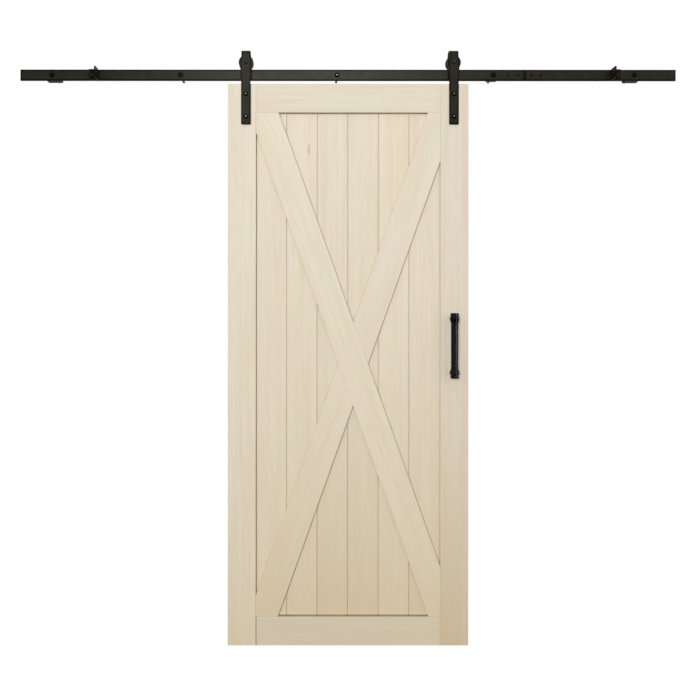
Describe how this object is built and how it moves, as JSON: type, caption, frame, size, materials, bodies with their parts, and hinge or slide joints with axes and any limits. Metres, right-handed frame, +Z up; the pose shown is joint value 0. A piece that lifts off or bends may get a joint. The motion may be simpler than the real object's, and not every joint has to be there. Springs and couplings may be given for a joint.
{
  "type": "sliding barn door",
  "caption": "Sliding barn door: a plank leaf with an X brace hangs by strap hangers and grooved wheels on a flat wall track with end stops.",
  "frame": {"origin": "on the wall plane, on the axis of the middle lag bolt of the track", "axes": "+X along the track to the right as seen from the room, +Y into the wall, +Z up"},
  "size_m": [2.5, 0.1445, 2.2631],
  "materials": {
    "pine": "planed, unfinished",
    "dowel_wood": "plain",
    "black_steel": "matte dark bronze powder coat",
    "black_fasteners": "black oxide",
    "zinc_steel": "zinc plated",
    "bearing_steel": "ground",
    "wheel_nylon": "turned black nylon",
    "black_handle": "satin black"
  },
  "bodies": {
    "track": {"long_rail": "black_steel", "short_rail": "black_steel", "splice_plate": "black_steel", "splice_screws": "zinc_steel", "left_spacer": "black_steel", "middle_spacer": "black_steel", "right_spacer": "black_steel", "left_wall_bracket": "black_steel", "right_wall_bracket": "black_steel", "middle_lag_bolt": "black_fasteners", "flush_lag_screws": "black_fasteners", "left_end_stop": "black_steel", "right_end_stop": "black_steel", "end_stop_screws": "black_fasteners"},
    "door": {"left_stile": "pine", "right_stile": "pine", "top_rail": "pine", "bottom_rail": "pine", "plank_1": "pine", "plank_2": "pine", "plank_3": "pine", "plank_4": "pine", "plank_5": "pine", "plank_6": "pine", "long_brace": "pine", "upper_brace": "pine", "lower_brace": "pine", "frame_dowels": "dowel_wood", "brace_screws": "zinc_steel", "left_hanger_strap": "black_steel", "right_hanger_strap": "black_steel", "left_axle_bolt": "black_fasteners", "right_axle_bolt": "black_fasteners", "axle_nuts": "zinc_steel", "left_axle_spacers": "zinc_steel", "right_axle_spacers": "zinc_steel", "left_bearing_inner_ring": "bearing_steel", "right_bearing_inner_ring": "bearing_steel", "strap_bolts": "black_fasteners", "strap_washers": "zinc_steel", "strap_nuts": "zinc_steel", "handle_grip": "black_handle", "upper_handle_post": "black_handle", "lower_handle_post": "black_handle", "handle_bolts": "zinc_steel"},
    "left_wheel_set": {"left_wheel": "wheel_nylon", "left_bearing_outer_ring": "bearing_steel"},
    "right_wheel_set": {"right_wheel": "wheel_nylon", "right_bearing_outer_ring": "bearing_steel"}
  },
  "joints": [
    {"name": "door_slide", "type": "slide", "parent": "track", "child": "door", "axis": [1, 0, 0], "range_m": [-0.5425, 0.5797]},
    {"name": "left_wheel_roll", "type": "hinge", "parent": "door", "child": "left_wheel_set", "pos_m": [-0.3462, -0.033, 0.046], "axis": [0, 1, 0], "continuous": true},
    {"name": "right_wheel_roll", "type": "hinge", "parent": "door", "child": "right_wheel_set", "pos_m": [0.4435, -0.033, 0.046], "axis": [0, 1, 0], "continuous": true}
  ],
  "couplings": [
    {"joint": "left_wheel_roll", "follows": "door_slide", "rad_per_m": 40},
    {"joint": "right_wheel_roll", "follows": "door_slide", "rad_per_m": 40}
  ]
}
